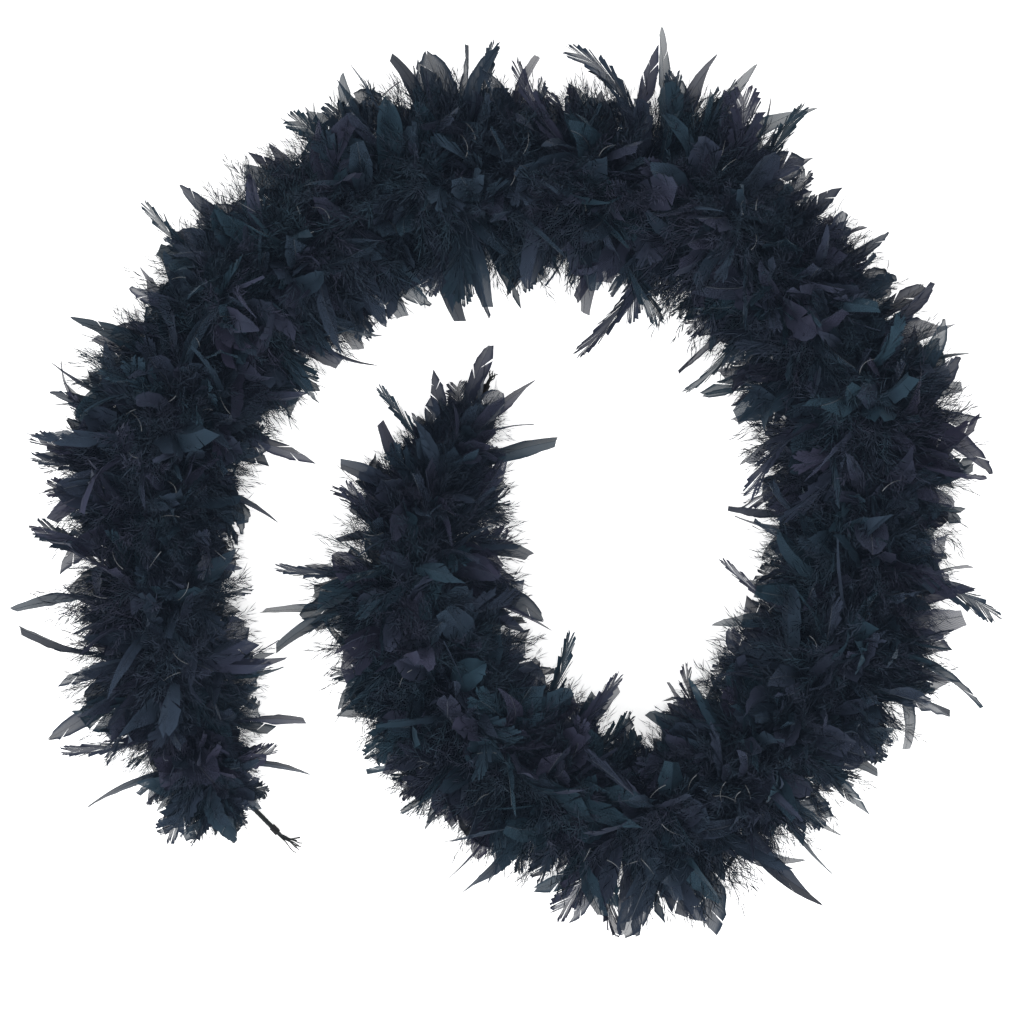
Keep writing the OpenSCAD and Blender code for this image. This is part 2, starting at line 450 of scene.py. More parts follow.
@dataclass(frozen=True)
class Plume:
    """A spray of down: a hair-thin shaft with barbs all round it, of length one."""

    barbs: int = 40
    barb_l: float = 0.23
    barb_w: float = 0.0068
    shaft_w: float = 0.010
    turn_step: float = 137.5
    first: float = 0.18
    last: float = 0.98
    seed: int = 1

    def _barb(self, bench: Bench) -> bpy.types.Object:
        """Models one barb: a sliver, widest in the middle, that curls towards its point."""
        bpy.ops.mesh.primitive_plane_add(size=1, location=(0, 0, 0))
        bench.start()
        bpy.ops.transform.translate(value=(0, 0.5, 0))
        bpy.ops.transform.resize(value=(self.barb_w, 0.5, 1), center_override=(0, 0, 0))
        bench.pick(lambda p: p.y < 0.2)
        bpy.ops.mesh.merge(type="CENTER")
        bench.pick(lambda p: p.y > 0.4)
        bpy.ops.transform.translate(value=(0, 0, 0.09))
        bpy.ops.mesh.extrude_region_move(TRANSFORM_OT_translate={"value": (0, 0.40, 0.28)})
        bpy.ops.mesh.merge(type="CENTER")
        return bench.done()

    def model(self, bench: Bench) -> Pattern:
        """Models the plume with its root at the origin and its tip up the y axis.

        Args:
            bench: The tools.

        Returns:
            The plume as a pattern.
        """
        draw = np.random.default_rng(self.seed)
        barb = self._barb(bench)
        bench = Bench()
        bpy.ops.mesh.primitive_plane_add(size=1, location=(0, 0, 0))
        bench.start()
        bpy.ops.transform.translate(value=(0, 0.5, 0))
        bpy.ops.transform.resize(value=(self.shaft_w, 0.94, 1), center_override=(0, 0, 0))
        bench.pick(lambda p: p.y > 0.5)
        bpy.ops.transform.resize(value=(0.3, 1, 1), center_override=(0, 0, 0))
        shaft = bench.done()
        for k in range(self.barbs):
            share = k / (self.barbs - 1)
            up = self.first + (self.last - self.first) * share**0.75
            turn = k * math.radians(self.turn_step) + draw.normal(0, 0.3)
            rake = math.radians(80 - 50 * share + draw.normal(0, 9))
            size = self.barb_l * (1 - 0.38 * share) * draw.uniform(0.6, 1.25)
            curl = math.pi + draw.normal(0, 0.5)
            copy = barb.copy()
            copy.data = barb.data.copy()
            # The barb's own length leans off the shaft by rake, its curl towards the tip
            lean = Matrix.Rotation(turn, 4, "Y") @ Matrix.Rotation(rake, 4, "X")
            copy.matrix_world = (
                Matrix.Translation((0, up, 0)) @ lean @ Matrix.Rotation(curl, 4, "Y")
                @ Matrix.Diagonal((1, size, size, 1))
            )
            bpy.context.collection.objects.link(copy)
            copy.select_set(True)
        bpy.data.objects.remove(barb)
        shaft.select_set(True)
        bpy.context.view_layer.objects.active = shaft
        bpy.ops.object.join()
        return Pattern.taken_from(bpy.context.object)


@dataclass
class Spread:
    """Where and how a set of copies is placed, one value of each for a copy."""

    root: Array
    out: Array
    across: Array
    length: Array
    width: Array
    droop: Array
    curl: Array
    twist: Array

    def take(self, chosen: Array) -> "Spread":
        """Gives the spread of the chosen copies only."""
        return Spread(*(getattr(self, name)[chosen] for name in self.__dataclass_fields__))

    def place(self, pattern: Pattern) -> Array:
        """Bends and places copies of a pattern.

        Args:
            pattern: A pattern of length one along y.

        Returns:
            Points, copies by points by 3.
        """
        face = unit(np.cross(self.across, self.out))
        x = pattern.points[None, :, 0] * self.width[:, None]
        t = pattern.points[None, :, 1]
        z = pattern.points[None, :, 2] * self.width[:, None]
        turn = self.twist[:, None] * t
        x, z = x * np.cos(turn) - z * np.sin(turn), x * np.sin(turn) + z * np.cos(turn)
        y, x = self._bent(t, x, self.curl)
        y, z = self._bent(y, z, self.droop)
        y = y * self.length[:, None]
        return (
            self.root[:, None]
            + x[..., None] * self.across[:, None]
            + y[..., None] * self.out[:, None]
            + z[..., None] * face[:, None]
        )

    def _bent(self, t: Array, side: Array, angle: Array) -> tuple[Array, Array]:
        """Rolls shares t along an arc of a given angle.

        Args:
            t: Shares of the length.
            side: Distance to the side, in metres.
            angle: Angle that the arc turns in all.

        Returns:
            Shares along and metres to the side.
        """
        a = np.where(np.abs(angle) < 0.02, 0.02, angle)[:, None]
        length = self.length[:, None]
        along = np.sin(a * t) / a - side / length * np.sin(a * t)
        aside = (1 - np.cos(a * t)) / a * length + side * np.cos(a * t)
        return along, aside


@dataclass
class Table:
    """The table that the boa lies on, and the room that it stays in."""

    give: float = 7 * MM
    soft: float = 12 * MM
    low: Array = field(default_factory=lambda: np.array(CAD_LOW) - [SPARE[0], SPARE[1], 0])
    high: Array = field(default_factory=lambda: np.array(CAD_HIGH) + SPARE)

    def settle(self, points: Array) -> Array:
        """Presses points down on the table and in from the room's sides.

        Args:
            points: Points by 3 along the last axis.

        Returns:
            The settled points.
        """
        floor = points[..., 2]
        sunk = self.give * np.exp(np.minimum(floor - self.give, 0) / self.give) + 0.1 * MM
        points[..., 2] = np.where(floor < self.give, sunk, floor)
        for axis in range(3):
            value = points[..., axis]
            over = np.maximum(value - (self.high[axis] - self.soft), 0)
            value = value - over + self.soft * (1 - np.exp(-over / self.soft))
            if axis < 2:
                under = np.maximum(self.low[axis] + self.soft - value, 0)
                value = value + under - self.soft * (1 - np.exp(-under / self.soft))
            points[..., axis] = value
        return points


@dataclass(frozen=True)
class ProudBlade:
    """A blade that stands clear of the rest, given by the place of its tip in millimetres."""

    along: float
    tip: tuple[float, float]
    cut: int
    width: float
    curl: float = 0.0
    height: float = 40.0


# Clockwise from the outer end, first those on the outside of the spiral
PROUD_BLADES = [
    ProudBlade(*values)
    for values in (
        (90, (-318, -246), 5, 7, -30), (125, (-330, -205), 6, 14, 20),
        (215, (-376, -100), 3, 17, -35), (250, (-362, -38), 2, 15, 25),
        (330, (-352, 12), 6, 14, 30), (335, (-346, 62), 2, 14, -20), (360, (-345, 84), 5, 5, 35),
        (400, (-316, 104), 0, 14, 20), (450, (-262, 196), 5, 6, 40), (500, (-250, 216), 2, 15, 15),
        (550, (-196, 236), 4, 15, -30), (585, (-128, 292), 1, 14, -25), (640, (-76, 306), 5, 7, 20),
        (670, (-18, 316), 6, 15, 35), (750, (40, 292), 0, 14, -10), (760, (102, 316), 4, 16, -25),
        (825, (148, 308), 1, 18, 75), (870, (210, 270), 6, 15, 30), (835, (196, 262), 5, 6, -30),
        (910, (238, 216), 4, 16, 30), (920, (278, 182), 2, 12, -30), (985, (304, 142), 7, 17, 20),
        (1030, (338, 92), 5, 6, 50), (1040, (342, 40), 5, 7, -45), (1090, (344, 8), 0, 14, -20),
        (1100, (332, -32), 7, 15, 20), (1175, (342, -84), 2, 14, 30),
        (1190, (326, -154), 1, 15, -30), (1290, (272, -222), 3, 16, 25),
        (1310, (236, -296), 5, 5, -30), (1380, (130, -328), 0, 16, 20),
        (1430, (112, -326), 4, 15, -20), (1440, (70, -308), 5, 6, 30),
        (1430, (38, -314), 7, 15, -25), (1540, (-50, -262), 0, 15, 20),
        (1550, (-96, -222), 7, 17, -25),
        # Those on the inside
        (90, (-152, -222), 5, 6, 30), (120, (-154, -182), 3, 13, 20),
        (170, (-172, -142), 5, 6, -40), (310, (-176, -34), 5, 6, 35), (370, (-152, 14), 4, 14, -20),
        (430, (-146, 66), 7, 15, -30), (520, (-118, 128), 0, 15, 25), (650, (-44, 128), 4, 16, -40),
        (770, (44, 128), 0, 14, 15), (820, (54, 96), 6, 14, 20), (960, (140, 60), 7, 15, 30),
        (1510, (40, -124), 6, 15, -30), (1460, (60, -160), 0, 16, 20),
        (1390, (112, -190), 1, 15, -20), (1200, (168, -110), 2, 13, 30),
        # Those round the inner end
        (1770, (-20, 96), 7, 17, 10, 14), (1755, (-64, 72), 4, 15, -30, 18),
        (1745, (-98, 60), 6, 12, -20, 20), (1755, (10, 66), 1, 14, 25, 16),
        (1740, (32, 26), 0, 18, 20, 20), (1720, (-118, -4), 2, 12, 20, 26),
        (1685, (-170, -70), 6, 12, 30), (1700, (-134, -48), 3, 12, -20),
    )
]


# How full the boa is on its outer and on its inner side at every step along the cord, 1
# being a feather's own drawn length. Measured, rounded to 0.05, then adjusted
GIRTH_STEP = 60 * MM
OUTER_GIRTH = [
    0.90, 1.30, 1.15, 1.25, 1.30, 1.35, 1.10, 1.10, 1.20, 1.30, 1.20, 1.00, 1.40, 1.10, 0.70,
    1.00, 1.10, 1.20, 1.00, 1.40, 0.90, 1.20, 1.40, 1.25, 1.10, 1.20, 1.20, 1.10, 0.80,
]
INNER_GIRTH = [
    0.70, 0.75, 1.10, 0.75, 0.90, 1.10, 1.20, 1.30, 1.15, 1.20, 1.35, 1.30, 1.30, 1.30, 1.40,
    1.20, 1.35, 1.30, 1.15, 1.05, 1.25, 1.20, 0.70, 0.80, 1.05, 1.00, 1.20, 1.15, 1.05,
]


# Swellings along the boa: the length of each wave in millimetres, and its turns round it
LUMPS = ((104, 1), (61, 2), (43, 1))


@dataclass
class Tufts:
    """All the tufts of feathers that are bound on the cord."""

    line: CordLine
    table: Table
    bunches: int = 48
    in_bunch: int = 13
    plumes: int = 22
    blades: float = 1.2
    webs: float = 4.8
    outer_bare: float = 70 * MM
    inner_bare: float = 62 * MM
    fan_l: float = 150 * MM
    outer_fan: float = -58.0
    inner_fan: float = 70.0
    outer_small: float = 0.60
    inner_small: float = 0.62
    taper_l: float = 110 * MM
    stray_s: float = 6 * MM
    stray_turn: float = 0.34
    stray_lean: float = 0.32
    flipped: float = 0.45
    slender_w: float = 0.24
    down_l: tuple[float, float] = (56 * MM, 71 * MM)
    blade_l: tuple[float, float] = (66 * MM, 96 * MM)
    blade_w: tuple[float, float] = (9 * MM, 17 * MM)
    web_l: tuple[float, float] = (50 * MM, 78 * MM)
    web_w: tuple[float, float] = (15 * MM, 27 * MM)
    seed: int = 7

    def __post_init__(self) -> None:
        """Draws each tuft's own turn, lean, droop and tone."""
        draw = np.random.default_rng(self.seed)
        count = self.bunches * self.in_bunch
        order = np.arange(count)
        usable = self.line.length - self.outer_bare - self.inner_bare
        self.s = self.outer_bare + usable * (order + 0.5) / count
        self.turn = np.radians((order * GOLDEN_TURN + 180) % 360 - 180)
        lean = draw.normal(8, 37, count)
        from_outer = smooth(0, 1, (self.s - self.outer_bare) / self.fan_l)
        from_inner = smooth(0, 1, (self.line.length - self.inner_bare - self.s) / self.fan_l)
        lean = lean + (self.outer_fan - lean) * (1 - from_outer)
        self.lean = np.radians(lean + (self.inner_fan - lean) * (1 - from_inner))
        lumps = sum(
            np.sin(self.s * 2 * math.pi / (wave * MM) + turns * self.turn + draw.uniform(0, 6))
            for wave, turns in LUMPS
        )
        self.size = draw.uniform(0.90, 1.06, count) * (1 + 0.045 * lumps)
        # Tufts near an end are smaller and keep closer together
        past_outer = smooth(0, 1, (self.s - self.outer_bare) / self.taper_l)
        past_inner = smooth(0, 1, (self.line.length - self.inner_bare - self.s) / self.taper_l)
        self.size *= self.outer_small + (1 - self.outer_small) * past_outer
        self.size *= self.inner_small + (1 - self.inner_small) * past_inner
        self.free = 0.45 + 0.55 * past_outer * past_inner
        self.droop = np.radians(draw.normal(46, 24, count))
        self.curl = np.radians(draw.normal(0, 30, count))
        self.roll = draw.normal(0, 0.95, count)
        self.tone = np.clip(draw.normal(0, 0.22, count), -0.5, 0.5)
        self.shade = draw.uniform(0, 1, count)

    def _spread(self, tuft: Array, draw: np.random.Generator, loose: float) -> tuple[Spread, Array]:
        """Aims copies that belong to tufts.

        Args:
            tuft: The tuft that each copy belongs to.
            draw: Source of chance.
            loose: How far copies stray from their tuft, 1 for down.

        Returns:
            The spread, with lengths and widths still to be set, and the copies' turns.
        """
        count = len(tuft)
        s = self.s[tuft] + draw.normal(0, self.stray_s * loose, count)
        turn = self.turn[tuft] + draw.normal(0, self.stray_turn * loose, count)
        lean = self.lean[tuft] + draw.normal(0, self.stray_lean * loose, count) * self.free[tuft]
        ahead, left = self.line.level(s)
        root = self.line.at(s)
        radial = np.cos(turn)[:, None] * UP + np.sin(turn)[:, None] * left
        out = unit(np.cos(lean)[:, None] * radial + np.sin(lean)[:, None] * ahead)
        across = unit(np.cross(np.cross(ahead, radial), out))
        # Feathers at the sides droop outwards and those below spread, but those on top
        # fall whichever way their own roll takes them
        top = smooth(0.1, 0.9, np.cos(turn))
        side = np.where(np.sin(turn) >= 0, 1.0, -1.0)
        side = np.where(draw.uniform(0, 1, count) < self.flipped * top, -side, side)
        droop = self.droop[tuft] * np.where(np.cos(turn) > -0.25, 1, -0.9) * side
        droop = droop * (0.35 + 0.65 * np.abs(np.cos(turn))) + draw.normal(0, 0.25, count)
        roll = self.roll[tuft] * (0.35 + 0.65 * top) + draw.normal(0, 0.5 * loose, count)
        face = np.cross(across, out)
        across = np.cos(roll)[:, None] * across + np.sin(roll)[:, None] * face
        curl = (self.curl[tuft] + draw.normal(0, 0.30, count)) * self.free[tuft]
        empty = np.zeros(count)
        fullness = self._fullness(s, turn)
        return Spread(root + radial * 2 * MM, out, across, fullness, empty, droop, curl, empty), turn

    def _fullness(self, s: Array, turn: Array) -> Array:
        """Gives how long feathers are at distances s and turns round the cord, near 1."""
        places = GIRTH_STEP * np.arange(1, len(OUTER_GIRTH) + 1)
        outer, inner = np.interp(s, places, OUTER_GIRTH), np.interp(s, places, INNER_GIRTH)
        side = 0.5 + 0.5 * np.clip(1.6 * np.sin(turn), -1, 1)
        return inner + (outer - inner) * side

    def _dye(self, tuft: Array, draw: np.random.Generator, plum: bool) -> Array:
        """Gives tone, shade and clearness for copies that belong to tufts."""
        tone = (0.68 if plum else 0.24) + self.tone[tuft] + draw.normal(0, 0.06, len(tuft))
        shade = 0.6 * self.shade[tuft] + 0.4 * draw.uniform(0, 1, len(tuft))
        return np.stack([np.clip(tone, 0, 1), shade, draw.uniform(0, 1, len(tuft))], 1)

    def down(self, bunch: int, plumes: list[Pattern]) -> bpy.types.Object:
        """Builds the down of one bunch.

        Args:
            bunch: The bunch's place along the cord, from 0.
            plumes: Patterns of plumes.

        Returns:
            The piece.
        """
        draw = np.random.default_rng(1000 + bunch)
        first = bunch * self.in_bunch
        tuft = np.repeat(np.arange(first, first + self.in_bunch), self.plumes)
        spread, _ = self._spread(tuft, draw, 1.0)
        spread.length = spread.length**0.8 * draw.uniform(*self.down_l, len(tuft)) * self.size[tuft]
        spread.width = spread.length
        spread.twist = draw.uniform(-math.pi, math.pi, len(tuft)) * 0.3
        dye = self._dye(tuft, draw, bunch % 2 == 1)
        kinds = draw.integers(0, len(plumes), len(tuft))
        heap = Heap()
        outward = []
        for kind, plume in enumerate(plumes):
            chosen = np.flatnonzero(kinds == kind)
            placed = spread.take(chosen).place(plume)
            heap.add(plume, self.table.settle(placed), dye[chosen])
            away = unit(placed - spread.root[chosen, None] + 0.1 * MM) + 0.5 * UP
            outward.append((away + draw.normal(0, 0.35, (*placed.shape[:2], 3))).reshape(-1, 3))
        return heap.piece(f"down_{bunch + 1:02d}", unit(np.vstack(outward)))

    def feathers(self, bunch: int, vanes: list[Pattern]) -> bpy.types.Object:
        """Builds the flat vanes of one bunch: proud blades, and webs beneath them.

        Args:
            bunch: The bunch's place along the cord, from 0.
            vanes: Patterns of vanes.

        Returns:
            The piece.
        """
        draw = np.random.default_rng(2000 + bunch)
        heap = Heap()
        for proud in (True, False):
            count = round(self.in_bunch * (self.blades if proud else self.webs))
            tuft = bunch * self.in_bunch + np.arange(count) % self.in_bunch
            spread, turn = self._spread(tuft, draw, 0.9 if proud else 1.1)
            kinds = draw.choice(len(vanes), count, p=BLADE_SHARES if proud else WEB_SHARES)
            slender = np.array([cut.trim is Trim.SLENDER for cut in VANES])[kinds]
            length, width = (self.blade_l, self.blade_w) if proud else (self.web_l, self.web_w)
            spread.length = spread.length * draw.uniform(*length, count) * self.size[tuft]
            spread.length *= np.where(np.cos(turn) < -0.25, 0.8, 1)
            spread.width = draw.uniform(*width, count) * np.where(slender, self.slender_w, 1)
            spread.twist = draw.normal(0, 0.9, count)
            bent = draw.normal(0, 1.05 if proud else 0.5, count)
            spread.curl = spread.curl * np.where(slender, 2.2, 1.4) + bent * self.free[tuft]
            dye = self._dye(tuft, draw, bunch % 2 == 1)
            for kind, vane in enumerate(vanes):
                chosen = np.flatnonzero(kinds == kind)
                if len(chosen):
                    placed = self.table.settle(spread.take(chosen).place(vane))
                    heap.add(vane, placed, dye[chosen])
        for blade in PROUD_BLADES:
            if self._bunch_at(blade.along * MM) == bunch:
                placed = self.table.settle(self._aimed(blade).place(vanes[blade.cut]))
                tuft = np.array([bunch * self.in_bunch + self.in_bunch // 2])
                dye = self._dye(tuft, draw, bunch % 2 == 1) * [1, 1, 0.4]
                heap.add(vanes[blade.cut], placed, dye)
        return heap.piece(f"feathers_{bunch + 1:02d}")

    def _bunch_at(self, s: float) -> int:
        """Gives the bunch that is bound at distance s along the cord."""
        nearest = int(np.argmin(np.abs(self.s - s)))
        return nearest // self.in_bunch

    def _aimed(self, blade: ProudBlade) -> Spread:
        """Aims one blade from the cord at the place of its tip.

        Args:
            blade: The blade.

        Returns:
            Its spread.
        """
        s = np.array([blade.along * MM])
        root = self.line.at(s)
        tip = np.array([[blade.tip[0], blade.tip[1], blade.height]]) * MM
        reach = tip - root
        bend = math.radians(blade.curl)
        across = unit(np.cross(reach, UP))
        # The root sets off half the bend to one side, so that the tip lands on its place
        out = unit(math.cos(bend / 2) * unit(reach) - math.sin(bend / 2) * across)
        across = unit(np.cross(out, UP))
        length = np.linalg.norm(reach, axis=1) * (bend / 2 / math.sin(bend / 2) if bend else 1)
        value = np.ones(1)
        return Spread(
            root, out, across, length, value * 0.8 * blade.width * MM, value * 0.3, value * bend,
            value * 0.5,
        )


def swept(centres: Array, radii: Array, ups: Array) -> Sweep:
    """Sweeps a section along a line.

    Args:
        centres: The line's points, n by 3.
        radii: Distance of each side from the line, n by sides.
        ups: A direction at each point that isn't along the line, n by 3.

    Returns:
        Points, corners, face starts and a uv for each corner, with both ends capped.
    """
    count, sides = radii.shape
    ahead = unit(np.gradient(centres, axis=0))
    side = unit(np.cross(ups, ahead))
    up = np.cross(ahead, side)
    angles = np.linspace(0, 2 * math.pi, sides, endpoint=False)
    ring = np.cos(angles)[None, :, None] * side[:, None] + np.sin(angles)[None, :, None] * up[:, None]
    points = (centres[:, None] + ring * radii[..., None]).reshape(-1, 3)
    i, k = np.meshgrid(np.arange(count - 1), np.arange(sides), indexing="ij")
    after = (k + 1) % sides
    quads = np.stack([i * sides + k, i * sides + after, (i + 1) * sides + after, (i + 1) * sides + k], -1)
    corners = quads.reshape(-1)
    starts = np.arange(0, len(corners), 4)
    run = np.concatenate([[0], np.cumsum(np.linalg.norm(np.diff(centres, axis=0), axis=1))])
    u = np.stack([k, k + 1, k + 1, k], -1) / sides
    v = np.stack([run[i], run[i], run[i + 1], run[i + 1]], -1)
    uvs = np.stack([u, v], -1).reshape(-1, 2)
    caps = np.concatenate([np.arange(sides)[::-1], (count - 1) * sides + np.arange(sides)])
    starts = np.concatenate([starts, [len(corners), len(corners) + sides]])
    corners = np.concatenate([corners, caps])
    uvs = np.vstack([uvs, np.zeros((2 * sides, 2))])
    return points, corners, starts, uvs


@dataclass
class Cord:
    """The core cord, three plies laid together, with its thread, whippings and frayed ends."""

    line: CordLine
    diameter: float = 4 * MM
    plies: int = 3
    lay: float = 11 * MM
    ring_step: float = 1.6 * MM
    thread_d: float = 0.6 * MM
    bound_from: float = 72 * MM
    bound_to: float = 70 * MM
    bound_pitch: float = 5 * MM
    whipping_l: float = 7 * MM
    whipping_turns: int = 8
    strand_d: float = 1.24 * MM
    path: Array = field(init=False)

    def _piece(self, name: str, parts: list[Sweep]) -> bpy.types.Object:
        """Joins swept parts as one piece.

        Args:
            name: The piece's name.
            parts: What swept() gave for each part.

        Returns:
            The piece.
        """
        heap = Heap()
        for points, corners, starts, uvs in parts:
            pattern = Pattern(points, corners, starts, uvs)
            heap.add(pattern, points[None], np.full((1, 3), 0.5))
        return heap.piece(name)

    def rope(self) -> bpy.types.Object:
        """Builds the laid cord along its whole route and returns it."""
        count = int(self.line.length / self.ring_step)
        s = np.linspace(0, self.line.length, count)
        sides = 12
        angles = np.linspace(0, 2 * math.pi, sides, endpoint=False)
        phase = angles[None] - 2 * math.pi * s[:, None] / self.lay
        lobes = np.abs(np.cos(self.plies / 2 * phase))
        radii = self.diameter / 2 * (0.80 + 0.20 * lobes)
        self.path = self.line.at(s)
        return self._piece("cord", [swept(self.path, radii, np.tile(UP, (count, 1)))])

    def _helix(self, s: Array, pitch: float, radius: float, thread: float) -> Sweep:
        """Winds thread round the cord over distances s."""
        ahead = self.line.heading(s)
        side = unit(np.cross(UP, ahead))
        up = np.cross(ahead, side)
        a = 2 * math.pi * (s - s[0]) / pitch
        radial = np.cos(a)[:, None] * side + np.sin(a)[:, None] * up
        centres = self.line.at(s) + radial * radius
        return swept(centres, np.full((len(s), 6), thread / 2), radial)

    def binding(self) -> bpy.types.Object:
        """Builds the thread that is wound along the cord over the quills and returns it."""
        last = self.line.length - self.bound_to
        turns = (last - self.bound_from) / self.bound_pitch
        s = np.linspace(self.bound_from, last, int(turns * 9))
        radius = self.diameter / 2 + self.thread_d / 2
        return self._piece("binding", [self._helix(s, self.bound_pitch, radius, self.thread_d)])

    def whipping(self, outer: bool) -> bpy.types.Object:
        """Builds the close turns of thread round one end of the cord.

        Args:
            outer: Whether it is the outer end.

        Returns:
            The piece.
        """
        low = 0.3 * MM
        start = low if outer else self.line.length - self.whipping_l
        s = np.linspace(start, start + self.whipping_l - low, self.whipping_turns * 14)
        thread = self.whipping_l / self.whipping_turns
        radius = self.diameter / 2 + thread / 2 - 0.05 * MM
        name = "outer_whipping_thread" if outer else "inner_whipping_thread"
        return self._piece(name, [self._helix(s, thread * 0.98, radius, thread)])

    def fray(self, outer: bool, strands: int, length: float, turn: float) -> bpy.types.Object:
        """Builds the frayed strands past one end of the cord.

        Args:
            outer: Whether it is the outer end.
            strands: How many strands there are.
            length: Length of the longest strand.
            turn: Angle that the strands bend to the left, in degrees.

        Returns:
            The piece.
        """
        draw = np.random.default_rng(41 if outer else 42)
        s = np.array([0.0 if outer else self.line.length])
        tip = self.line.at(s)[0]
        ahead = self.line.heading(s)[0] * (-1 if outer else 1)
        left = unit(np.cross(UP, ahead))
        t = np.linspace(0, 1, 12)
        parts = []
        for k in range(strands):
            fan = k / (strands - 1) - 0.5 + draw.normal(0, 0.08)
            size = length * draw.uniform(0.72, 1.0)
            bend = math.radians(turn) * t + fan * t**0.8
            wave = 0.9 * MM * np.sin(t * draw.uniform(7, 11) + draw.uniform(0, 6)) * t
            step = np.stack([np.cos(bend), np.sin(bend)], 1) * size / len(t)
            walk = np.concatenate([[[0, 0]], np.cumsum(step, 0)[:-1]])
            start = (k % 3 - 1) * 0.8 * MM
            centres = tip + walk[:, :1] * ahead + (walk[:, 1:] + wave[:, None]) * left
            centres = centres - ahead * 1 * MM + left * start * (1 - 0.3 * t[:, None])
            rise = draw.uniform(-0.6, 0.9) * MM
            centres[:, 2] = np.maximum(tip[2] - 1.6 * MM * t + rise + 0.8 * MM * np.sin(5 * t + k), 0.9 * MM)
            thick = self.strand_d / 2 * (1 - 0.45 * t)
            radii = np.tile(thick[:, None], (1, 6))
            parts.append(swept(centres, radii, np.tile(UP, (len(t), 1))))
        return self._piece("outer_fray" if outer else "inner_fray", parts)


@dataclass
class PaintedGlintQuills:
    """Short slivers of bare quills, painted pale as glints among the feathers."""

    tufts: Tufts
    count: int = 66
    length: tuple[float, float] = (7 * MM, 17 * MM)
    thickness: float = 0.32 * MM
    clear_of_end: float = 110 * MM
    depth: tuple[float, float] = (54 * MM, 66 * MM)

    def build(self) -> bpy.types.Object:
        """Builds all the slivers as one piece and returns it."""
        draw = np.random.default_rng(77)
        line = self.tufts.line
        heap = Heap()
        t = np.linspace(0, 1, 6)
        for s in draw.uniform(self.clear_of_end, line.length - self.clear_of_end, self.count):
            turn = draw.normal(0, 0.55)
            lean = draw.uniform(-1.2, 1.2)
            ahead, left = (v[0] for v in line.level(np.array([s])))
            radial = math.cos(turn) * UP + math.sin(turn) * left
            start = line.at(np.array([s]))[0] + radial * draw.uniform(*self.depth)
            along = math.cos(lean) * left + math.sin(lean) * ahead + draw.uniform(-0.2, 0.5) * radial
            aside = np.cross(along, radial)
            size = draw.uniform(*self.length)
            bow = draw.uniform(-0.22, 0.22) * size
            centres = start + t[:, None] * along * size + (4 * t * (1 - t) * bow)[:, None] * aside
            radii = np.tile((self.thickness * (1 - 0.75 * t))[:, None], (1, 5))
            points, corners, starts, uvs = swept(centres, radii, np.tile(radial, (len(t), 1)))
            heap.add(Pattern(points, corners, starts, uvs), points[None], np.full((1, 3), 0.5))
        return heap.piece("painted_glint_quills")


class Wiring:
    """Lays out the nodes of one material."""

    def __init__(self, name: str) -> None:
        """Makes an empty node material."""
        self.material = bpy.data.materials.new(name)
        self.material.use_nodes = True
        self.tree = self.material.node_tree
        self.tree.nodes.clear()

    def node(self, kind: str, settings: dict | None = None, **links) -> bpy.types.Node:
        """Adds a node.

        Args:
            kind: The node's type.
            settings: The node's own settings.
            **links: Values or sockets for its inputs, underscores standing for spaces.

        Returns:
            The node.
        """
        node = self.tree.nodes.new(kind)
        for key, value in (settings or {}).items():
            setattr(node, key, value)
        for key, value in links.items():
            name = key.replace("_", " ")
            target = node.inputs[int(key[1:])] if key[1:].isdigit() else node.inputs[name]
            if isinstance(value, bpy.types.NodeSocket):
                self.tree.links.new(value, target)
            else:
                target.default_value = value
        return node

    def math(
        self, operation: str, a: Socket | float, b: Socket | float = 0.0, c: Socket | float = 0.0,
        clamp: bool = False,
    ) -> Socket:
        """Adds a Math node and returns its result."""
        settings = {"operation": operation, "use_clamp": clamp}
        return self.node("ShaderNodeMath", settings, i0=a, i1=b, i2=c).outputs[0]

    def mix(
        self, share: Socket | float, a: Socket | Colour, b: Socket | Colour, blend: str = "MIX"
    ) -> Socket:
        """Adds a colour mix and returns its colour."""
        node = self.node("ShaderNodeMix", {"data_type": "RGBA", "blend_type": blend}, i0=share, i6=a, i7=b)
        return node.outputs[2]

    def ease(self, value: Socket, low: float, high: float) -> Socket:
        """Adds a smooth step from low to high and returns its result."""
        settings = {"interpolation_type": "SMOOTHSTEP"}
        return self.node("ShaderNodeMapRange", settings, i0=value, i1=low, i2=high).outputs[0]

    def noise(self, place: Socket, scale: float, detail: float = 3.0) -> Socket:
        """Adds a noise pattern and returns its value."""
        return self.node("ShaderNodeTexNoise", None, Vector=place, Scale=scale, Detail=detail).outputs[0]

    def grey(self, value: Socket) -> Socket:
        """Adds a grey of a value and returns its colour."""
        return self.node("ShaderNodeCombineColor", None, i0=value, i1=value, i2=value).outputs[0]

    def bump(self, height: Socket, strength: float, depth: float) -> Socket:
        """Adds a bump and returns its normal."""
        node = self.node("ShaderNodeBump", None, Strength=strength, Distance=depth, Height=height)
        return node.outputs[0]

    def place(self) -> Socket:
        """Adds the piece's own coordinates and returns them."""
        return self.node("ShaderNodeTexCoord").outputs["Object"]

    def blade(self) -> tuple[Socket, Socket]:
        """Adds the blade's map and returns the places across and along the blade."""
        uv = self.node("ShaderNodeUVMap", {"uv_map": "blade"}).outputs[0]
        parts = self.node("ShaderNodeSeparateXYZ", None, Vector=uv)
        return parts.outputs[0], parts.outputs[1]

    def dye(self) -> tuple[Socket, Socket, Socket]:
        """Adds the dye of each copy and returns its tone, shade and clearness."""
        dye = self.node("ShaderNodeAttribute", {"attribute_name": "dye"}).outputs["Color"]
        parts = self.node("ShaderNodeSeparateColor", None, Color=dye)
        return parts.outputs[0], parts.outputs[1], parts.outputs[2]

    def finish(self, surface: Socket) -> bpy.types.Material:
        """Ends the wiring with a surface and returns the material."""
        self.node("ShaderNodeOutputMaterial", None, Surface=surface)
        return self.material


